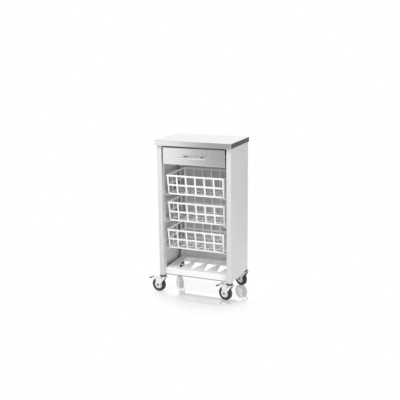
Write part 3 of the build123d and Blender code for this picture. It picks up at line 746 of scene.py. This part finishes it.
class TROLLEY_OT_baskets(bpy.types.Operator):
    """Model one lattice basket and stand three copies on their rails"""

    bl_idname = "trolley.baskets"
    bl_label = "Baskets"

    def execute(self, context):
        sizes = context.scene.trolley_basket
        basket = self.model(sizes)
        for name in BASKETS:
            node = f"{name}_basket"
            low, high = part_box(node)
            piece = duplicate(basket, f"{node}_lattice")
            place(piece, (0, high.y - sizes.rim_proud, low.z))
            settle(piece, node, "white_paint", node)
        discard(basket)
        return {"FINISHED"}

    def model(self, sizes):
        """A basket with the middle of its back's foot at the origin."""
        size = self.size(sizes)
        lines = self.window_lines(sizes, size)
        basket = block("basket", (-size.x / 2, -size.y, 0), (size.x / 2, 0, size.z))
        with editing(basket):
            pick(basket, "faces", lambda face: face.normal.z > SAME_WAY)
            bpy.ops.mesh.delete(type="FACE")
            self.taper(basket, sizes, size)
            pick(basket, "edges", lambda edge: abs(edge.verts[0].co.z - edge.verts[1].co.z) > size.z / 2)
            bpy.ops.mesh.bevel(offset=sizes.corner, segments=sizes.corner_steps, affect="EDGES")
            for axis, places in zip((X_AXIS, Y_AXIS, Z_AXIS), lines):
                cut(places, axis)
            cut([size.z - sizes.rim_lip], Z_AXIS)
            self.punch(basket, sizes, lines)
        apply_modifier(basket, "SOLIDIFY", thickness=sizes.wall, offset=-1, use_even_offset=True)
        self.roll_rim(basket, sizes, size)
        round_edges(basket, sizes.edge)
        return basket

    def size(self, sizes):
        low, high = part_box("upper_basket")
        return high - low - Vector((2 * sizes.rim_proud, 2 * sizes.rim_proud, 0))

    def window_lines(self, sizes, size):
        """Where the windows begin and end along each axis."""
        across = (size.x - 2 * sizes.side_draft - sizes.bar) / sizes.columns
        along = (size.y - sizes.front_draft - sizes.bar) / sizes.side_columns
        middle = -(size.y - sizes.front_draft) / 2
        gaps = sizes.rim_band + sizes.foot_bar + (sizes.rows - 1) * sizes.middle_bar
        rise = (size.z - gaps) / sizes.rows
        x_lines = self.edges(sizes.columns, across, across - sizes.bar, 0)
        y_lines = self.edges(sizes.side_columns, along, along - sizes.bar, middle)
        rows_middle = sizes.foot_bar + (size.z - sizes.foot_bar - sizes.rim_band) / 2
        z_lines = self.edges(sizes.rows, rise + sizes.middle_bar, rise, rows_middle)
        return x_lines, y_lines, z_lines

    def edges(self, windows, pitch, window, middle):
        centres = [middle + (step - (windows - 1) / 2) * pitch for step in range(windows)]
        return [centre + side * window / 2 for centre in centres for side in (-1, 1)]

    def taper(self, basket, sizes, size):
        """Leans the front and the sides in at the foot."""
        pick(basket, "verts", lambda vert: vert.co.z < TINY and vert.co.y < -size.y / 2)
        bpy.ops.transform.translate(value=(0, sizes.front_draft, 0))
        for side in (-1, 1):
            pick(basket, "verts", lambda vert: vert.co.z < TINY and vert.co.x * side > 0)
            bpy.ops.transform.translate(value=(-side * sizes.side_draft, 0, 0))

    def punch(self, basket, sizes, lines):
        """Rounds the windows' corners and takes the windows out."""

        def on_lines(point):
            near = [min(abs(value - line) for line in places) for value, places in zip(point, lines)]
            return sum(distance < TINY for distance in near)

        def in_window(value, places):
            return any(low < value < high for low, high in zip(places[::2], places[1::2]))

        def is_window(face):
            centre, normal = face.calc_center_median(), face.normal
            hits = [in_window(value, places) for value, places in zip(centre, lines)]
            facing = max(range(3), key=lambda axis: abs(normal[axis]))
            return all(hit for axis, hit in enumerate(hits) if axis != facing)

        pick(basket, "verts", lambda vert: on_lines(vert.co) > 1)
        bpy.ops.mesh.bevel(offset=sizes.window_corner, segments=sizes.window_steps, affect="VERTICES")
        pick(basket, "faces", is_window)
        bpy.ops.mesh.delete(type="FACE")

    def roll_rim(self, basket, sizes, size):
        """Stands the rim's outer band proud of the walls."""
        middle = Vector((0, -size.y / 2, 0))

        def is_rim(face):
            centre = face.calc_center_median()
            outwards = (centre - middle).to_2d().dot(face.normal.to_2d()) > 0
            return centre.z > size.z - sizes.rim_lip and abs(face.normal.z) < UPRIGHT and outwards

        with editing(basket):
            pick(basket, "faces", is_rim)
            stand_proud(sizes.rim_proud)


def caster_turn(name):
    """A caster's turn about the upright axis, from the way its axle points."""
    axis = JOINTS[f"{name}_wheel_spin"]["axis"]
    return -atan2(axis[0], axis[1])


class TROLLEY_OT_wheels(bpy.types.Operator):
    """Turn a tyre and a wheel core, and put a copy of each on every caster"""

    bl_idname = "trolley.wheels"
    bl_label = "Wheels"

    def execute(self, context):
        sizes = context.scene.trolley_caster
        tyre = lathe("tyre", self.tyre_profile(sizes), sizes.steps)
        round_edges(tyre, sizes.tyre_edge, sharp=WHEEL_SHARP_ANGLE)
        core = lathe("wheel_core", self.core_profile(sizes), sizes.steps)
        round_edges(core, sizes.core_edge, sharp=WHEEL_SHARP_ANGLE)
        templates = {"tyre": (tyre, "tyre_rubber"), "wheel_core": (core, "wheel_plastic")}
        for name in CASTERS:
            hub = Vector(JOINTS[f"{name}_wheel_spin"]["pos_m"])
            for part, (template, slot) in templates.items():
                piece = duplicate(template, f"{name}_{part}_turned")
                place(piece, hub, caster_turn(name))
                settle(piece, f"{name}_wheel", slot, f"{name}_{part}")
        discard(tyre)
        discard(core)
        return {"FINISHED"}

    def tyre_profile(self, sizes):
        """Rounded shoulders, and two shallow grooves in the tread."""
        low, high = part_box("front_left_tyre")
        outer = (high.z - low.z) / 2
        inner = outer - sizes.tyre_thickness
        half = sizes.tyre_width / 2
        shoulder = sizes.tyre_shoulder
        arc = [pi / 2 * step / sizes.shoulder_steps for step in range(sizes.shoulder_steps + 1)]
        rise = [(outer - shoulder * (1 - sin(turn)), -half + shoulder * (1 - cos(turn))) for turn in arc]
        edge = sizes.groove_width / 2
        groove = [
            (outer, -sizes.groove_place - edge),
            (outer - sizes.groove_depth, -sizes.groove_place - edge / 2),
            (outer - sizes.groove_depth, -sizes.groove_place + edge / 2),
            (outer, -sizes.groove_place + edge),
        ]
        left = [(inner, -half), *rise, *groove]
        right = [(radius, -across) for radius, across in reversed(left)]
        return [*left, *right, left[0]]

    def core_profile(self, sizes):
        """A dished disc with a raised rim and hub."""
        low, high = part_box("front_left_wheel_core")
        outer = (high.z - low.z) / 2
        rim, hub = sizes.core_width / 2, sizes.hub_width / 2
        web = rim - sizes.dish
        left = [
            (sizes.bore, -hub),
            (sizes.hub_radius, -hub),
            (sizes.hub_radius + sizes.dish, -web),
            (outer - sizes.core_rim - sizes.dish, -web),
            (outer - sizes.core_rim, -rim),
            (outer, -rim),
        ]
        right = [(radius, -across) for radius, across in reversed(left)]
        return [*left, *right, left[0]]


class TROLLEY_OT_forks(bpy.types.Operator):
    """Round the pressed edges of the caster forks"""

    bl_idname = "trolley.forks"
    bl_label = "Caster Forks"

    def execute(self, context):
        sizes = context.scene.trolley_caster
        for name in CASTERS:
            node = f"{name}_caster_fork"
            fork = copy_of_node(node, f"{node}_pressed")
            round_edges(fork, sizes.edge)
            settle(fork, f"{name}_caster", "zinc", node)
        return {"FINISHED"}


class TROLLEY_OT_pedals(bpy.types.Operator):
    """Shape the brake levers and model a ribbed cap for each toe"""

    bl_idname = "trolley.pedals"
    bl_label = "Brake Pedals"

    def execute(self, context):
        sizes = context.scene.trolley_caster
        cap = self.model_cap(sizes)
        lever_reach = sizes.toe_reach - sizes.toe_length / 4
        for name in BRAKED_CASTERS:
            node = f"{name}_brake_pedal"
            pin = Vector(JOINTS[f"{name}_brake_press"]["pos_m"])
            turn = caster_turn(name)
            outwards = Matrix.Rotation(turn, 3, "Z") @ -X_AXIS
            lever = copy_of_node(node, f"{node}_lever")
            with editing(lever):
                bpy.ops.mesh.select_all(action="SELECT")
                bpy.ops.mesh.bisect(
                    plane_co=pin + outwards * lever_reach,
                    plane_no=outwards,
                    use_fill=True,
                    clear_outer=True,
                )
            round_edges(lever, sizes.edge)
            settle(lever, f"{name}_brake", "zinc", node)
            toe = duplicate(cap, f"{node}_toe_cap")
            place(toe, pin, turn)
            settle(toe, f"{name}_brake", "pedal_steel")
        discard(cap)
        return {"FINISHED"}

    def model_cap(self, sizes):
        """A cap with ribs across its top, placed from the pedal's pin."""
        middle = Vector((-sizes.toe_reach, 0, sizes.toe_lift))
        half = Vector((sizes.toe_length, sizes.toe_width, sizes.toe_height)) / 2
        cap = block("toe_cap", middle - half, middle + half)
        bands = 2 * sizes.ribs + 1
        rib_lines = [middle.y + half.y * step / bands for step in range(2 - bands, bands, 2)]
        rib_bands = list(zip(rib_lines[::2], rib_lines[1::2]))
        inside = half.x * sizes.rib_share

        def is_rib(face):
            centre = face.calc_center_median()
            in_band = any(low < centre.y < high for low, high in rib_bands)
            return face.normal.z > SAME_WAY and in_band and abs(centre.x - middle.x) < inside

        with editing(cap):
            cut(rib_lines, Y_AXIS)
            cut([middle.x - inside, middle.x + inside], X_AXIS)
            pick(cap, "faces", is_rib)
            stand_proud(sizes.rib_height)
        round_edges(cap, sizes.toe_edge, segments=3)
        return cap


# Lamps, in metres and watts, and the cards that the steel mirrors

LAMP_AIM = (0, 0, 0.5)
LAMPS = {
    "key_light": dict(location=(-0.6, -1.4, 2.6), size=1.2, power=38.0),
    "front_light": dict(location=(0.9, -2.8, 1.1), size=1.2, power=13.0),
    "left_light": dict(location=(-0.7, -0.75, 1.15), size=0.4, power=2.0, aim=(-0.2, -0.14, 0.75)),
    "low_light": dict(location=(2.4, -1.7, 0.35), size=1.0, power=32.0),
    "side_light": dict(location=(2.9, 0.9, 1.2), size=1.6, power=15.0),
    "top_light": dict(location=(-0.25, 0.35, 2.7), size=0.9, power=42.0),
}
CARDS = {
    "front_card": dict(
        finish="card_grey", location=(-0.1, -1.7, 0.75), size=(1.7, 1.3), turn=(pi / 2, 0, 0)
    ),
    "right_card": dict(
        finish="card_black", location=(1.11, 1.76, 0.25), size=(1.9, 1.3), turn=(pi / 2, 0, radians(-40))
    ),
    "top_card": dict(finish="card_black", location=(-0.9, -1.15, 1.9), size=(3.0, 1.3), turn=(0, 0, 0)),
}
CARD_TONE = (0.1, 0.1, 0.1)

# Where a card's ends turn from clear to dark, in shares of its width and height from its middle

CARD_RIGHT_END = (0.5, 0.1)
CARD_LEAN_BAND = (-0.34, -0.26)
CARD_FINISHES = {
    "card_black": dict(left_end=(-0.5, -0.19), foot=(-0.5, -0.17), lean=0.0, strength=1.0),
    "card_grey": dict(left_end=(-0.28, -0.14), foot=(-0.5, -0.4), lean=0.15, strength=0.64),
}


class TROLLEY_OT_stage(bpy.types.Operator):
    """Set the floor, the background, the lights, the mirrored cards and the camera"""

    bl_idname = "trolley.stage"
    bl_label = "Stage"

    def execute(self, context):
        settings = context.scene.trolley_stage
        self.floor(settings)
        self.background(context, settings)
        self.lights()
        self.cards()
        self.camera(context, settings)
        context.scene.view_settings.view_transform = "Standard"
        return {"FINISHED"}

    def floor(self, settings):
        """A pale floor that keeps the shadow and fades into the background."""
        clear_selection()
        bpy.ops.mesh.primitive_plane_add(size=settings.floor_size)
        floor = bpy.context.object
        floor.name = "floor"
        finish = Finish("floor_white", Emission_Color=WHITE, IOR=settings.floor_index)
        texture = finish.group(surface_group, Grain=300.0)
        seen = finish.add("ShaderNodeLightPath").outputs["Is Camera Ray"]
        pale = finish.vary(texture["Drift"], settings.floor, darkest=1.0, palest=1.0125)
        finish.feed("Base Color", finish.blend(seen, pale, settings.floor_seen))
        finish.feed("Emission Strength", finish.scaled(seen, 0.0, settings.floor_glow))
        ends = {0: finish.place, 1: tuple(settings.floor_middle)}
        distance = finish.add("ShaderNodeVectorMath", ends, operation="DISTANCE").outputs["Value"]
        dulled = spread(finish.tree, distance, settings.mirror_near, settings.mirror_fade)
        finish.feed("Roughness", finish.scaled(dulled, settings.polished, settings.matt))
        reach = {"Value": distance, "From Min": settings.floor_near, "From Max": settings.floor_fade}
        fade = finish.add("ShaderNodeMapRange", reach, interpolation_type="SMOOTHSTEP")
        clear = finish.add("ShaderNodeBsdfTransparent")
        finish.mix_surface(fade.outputs["Result"], finish.shader.outputs["BSDF"], clear.outputs["BSDF"])
        floor.data.materials.append(finish.material)

    def background(self, context, settings):
        """White where it is seen or mirrored, and a softer even light elsewhere."""
        world = bpy.data.worlds.new("studio")
        world.use_nodes = True
        tree = world.node_tree
        seen = tree.nodes["Background"]
        seen.inputs["Color"].default_value = WHITE
        even = add_node(tree, "ShaderNodeBackground", {"Color": WHITE, "Strength": settings.ambient})
        path = add_node(tree, "ShaderNodeLightPath").outputs
        camera_or_glossy = combine(tree, "MAXIMUM", path["Is Camera Ray"], path["Is Glossy Ray"])
        shown = combine(tree, "MAXIMUM", camera_or_glossy, path["Is Transmission Ray"])
        shaders = {0: shown, 1: even.outputs["Background"], 2: seen.outputs["Background"]}
        mix = add_node(tree, "ShaderNodeMixShader", shaders)
        tree.links.new(mix.outputs["Shader"], tree.nodes["World Output"].inputs["Surface"])
        context.scene.world = world

    def lights(self):
        """A soft key from the upper left, weaker fills from the front and sides, and one overhead."""
        for name, lamp in LAMPS.items():
            self.softbox(name, **lamp)

    def softbox(self, name, location, size, power, aim=LAMP_AIM):
        clear_selection()
        bpy.ops.object.light_add(type="AREA", location=location)
        lamp = bpy.context.object
        lamp.name = name
        lamp.data.size = size
        lamp.data.energy = power
        lamp.visible_glossy = False
        lamp.rotation_euler = (Vector(aim) - Vector(location)).to_track_quat("-Z", "Y").to_euler()

    def cards(self):
        """Dark cards out of sight, which only the steel mirrors."""
        for name, ends in CARD_FINISHES.items():
            self.card_finish(name, **ends)
        for name, card in CARDS.items():
            clear_selection()
            bpy.ops.mesh.primitive_plane_add(size=1, location=card["location"], rotation=card["turn"])
            panel = bpy.context.object
            panel.name = name
            panel.scale = (*card["size"], 1)
            panel.data.materials.append(FINISHES[card["finish"]])
            panel.visible_camera = False
            panel.visible_diffuse = False
            panel.visible_shadow = False

    def card_finish(self, name, left_end, foot, lean, strength):
        """Matt black that fades out at both ends and at the foot, with a left end that may lean."""
        card = Finish(name, Roughness=1.0, Specular_IOR_Level=0.0)
        texture = card.group(surface_group, Grain=50.0)
        card.feed("Base Color", card.vary(texture["Drift"], CARD_TONE, darkest=0.8, palest=1.0))
        spot = card.add("ShaderNodeSeparateXYZ", {"Vector": card.place}).outputs
        rise = spread(card.tree, spot["Y"], *CARD_LEAN_BAND)
        leaning = combine(card.tree, "MULTIPLY_ADD", rise, lean, spot["X"])
        left = spread(card.tree, leaning, *left_end)
        right = spread(card.tree, spot["X"], *CARD_RIGHT_END)
        above_foot = card.scaled(spread(card.tree, spot["Y"], *foot), 0.0, strength)
        between_ends = combine(card.tree, "MULTIPLY", left, right)
        shown = combine(card.tree, "MULTIPLY", between_ends, above_foot)
        clear = card.add("ShaderNodeBsdfTransparent")
        card.mix_surface(shown, clear.outputs["BSDF"], card.shader.outputs["BSDF"])

    def camera(self, context, settings):
        """Looks at the aim from the azimuth and the elevation."""
        turn, height = settings.azimuth, settings.elevation
        back = Vector((sin(turn) * cos(height), -cos(turn) * cos(height), sin(height)))
        right = Vector((cos(turn), sin(turn), 0))
        upwards = back.cross(right)
        level = Matrix((right, upwards, back)).transposed()
        clear_selection()
        bpy.ops.object.camera_add(location=Vector(settings.aim) + back * settings.distance)
        camera = bpy.context.object
        camera.rotation_euler = (level @ Matrix.Rotation(settings.roll, 3, "Z")).to_euler()
        camera.data.lens = settings.lens
        camera.data.sensor_width = settings.sensor
        context.scene.camera = camera


class TROLLEY_PT_panel(bpy.types.Panel):
    """Lists the steps that build the trolley"""

    bl_label = "Kitchen Trolley"
    bl_idname = "TROLLEY_PT_panel"
    bl_space_type = "VIEW_3D"
    bl_region_type = "UI"
    bl_category = "Trolley"

    def draw(self, context):
        for operator in OPERATORS:
            self.layout.operator(operator.bl_idname)


SETTINGS = {
    "trolley_sheet": SheetSettings,
    "trolley_basket": BasketSettings,
    "trolley_caster": CasterSettings,
    "trolley_handle": HandleSettings,
    "trolley_finishes": FinishSettings,
    "trolley_stage": StageSettings,
}
OPERATORS = (
    TROLLEY_OT_finishes,
    TROLLEY_OT_panels,
    TROLLEY_OT_worktop,
    TROLLEY_OT_drawer_front,
    TROLLEY_OT_handle,
    TROLLEY_OT_baskets,
    TROLLEY_OT_wheels,
    TROLLEY_OT_forks,
    TROLLEY_OT_pedals,
    TROLLEY_OT_stage,
)


def register():
    for group in (*SETTINGS.values(), *OPERATORS, TROLLEY_PT_panel):
        bpy.utils.register_class(group)
    for name, group in SETTINGS.items():
        setattr(bpy.types.Scene, name, bpy.props.PointerProperty(type=group))


def unregister():
    for name in SETTINGS:
        delattr(bpy.types.Scene, name)
    for group in (TROLLEY_PT_panel, *reversed(OPERATORS), *SETTINGS.values()):
        bpy.utils.unregister_class(group)


def main():
    register()
    for operator in OPERATORS:
        family, name = operator.bl_idname.split(".")
        getattr(getattr(bpy.ops, family), name)()


if __name__ == "__main__":
    main()
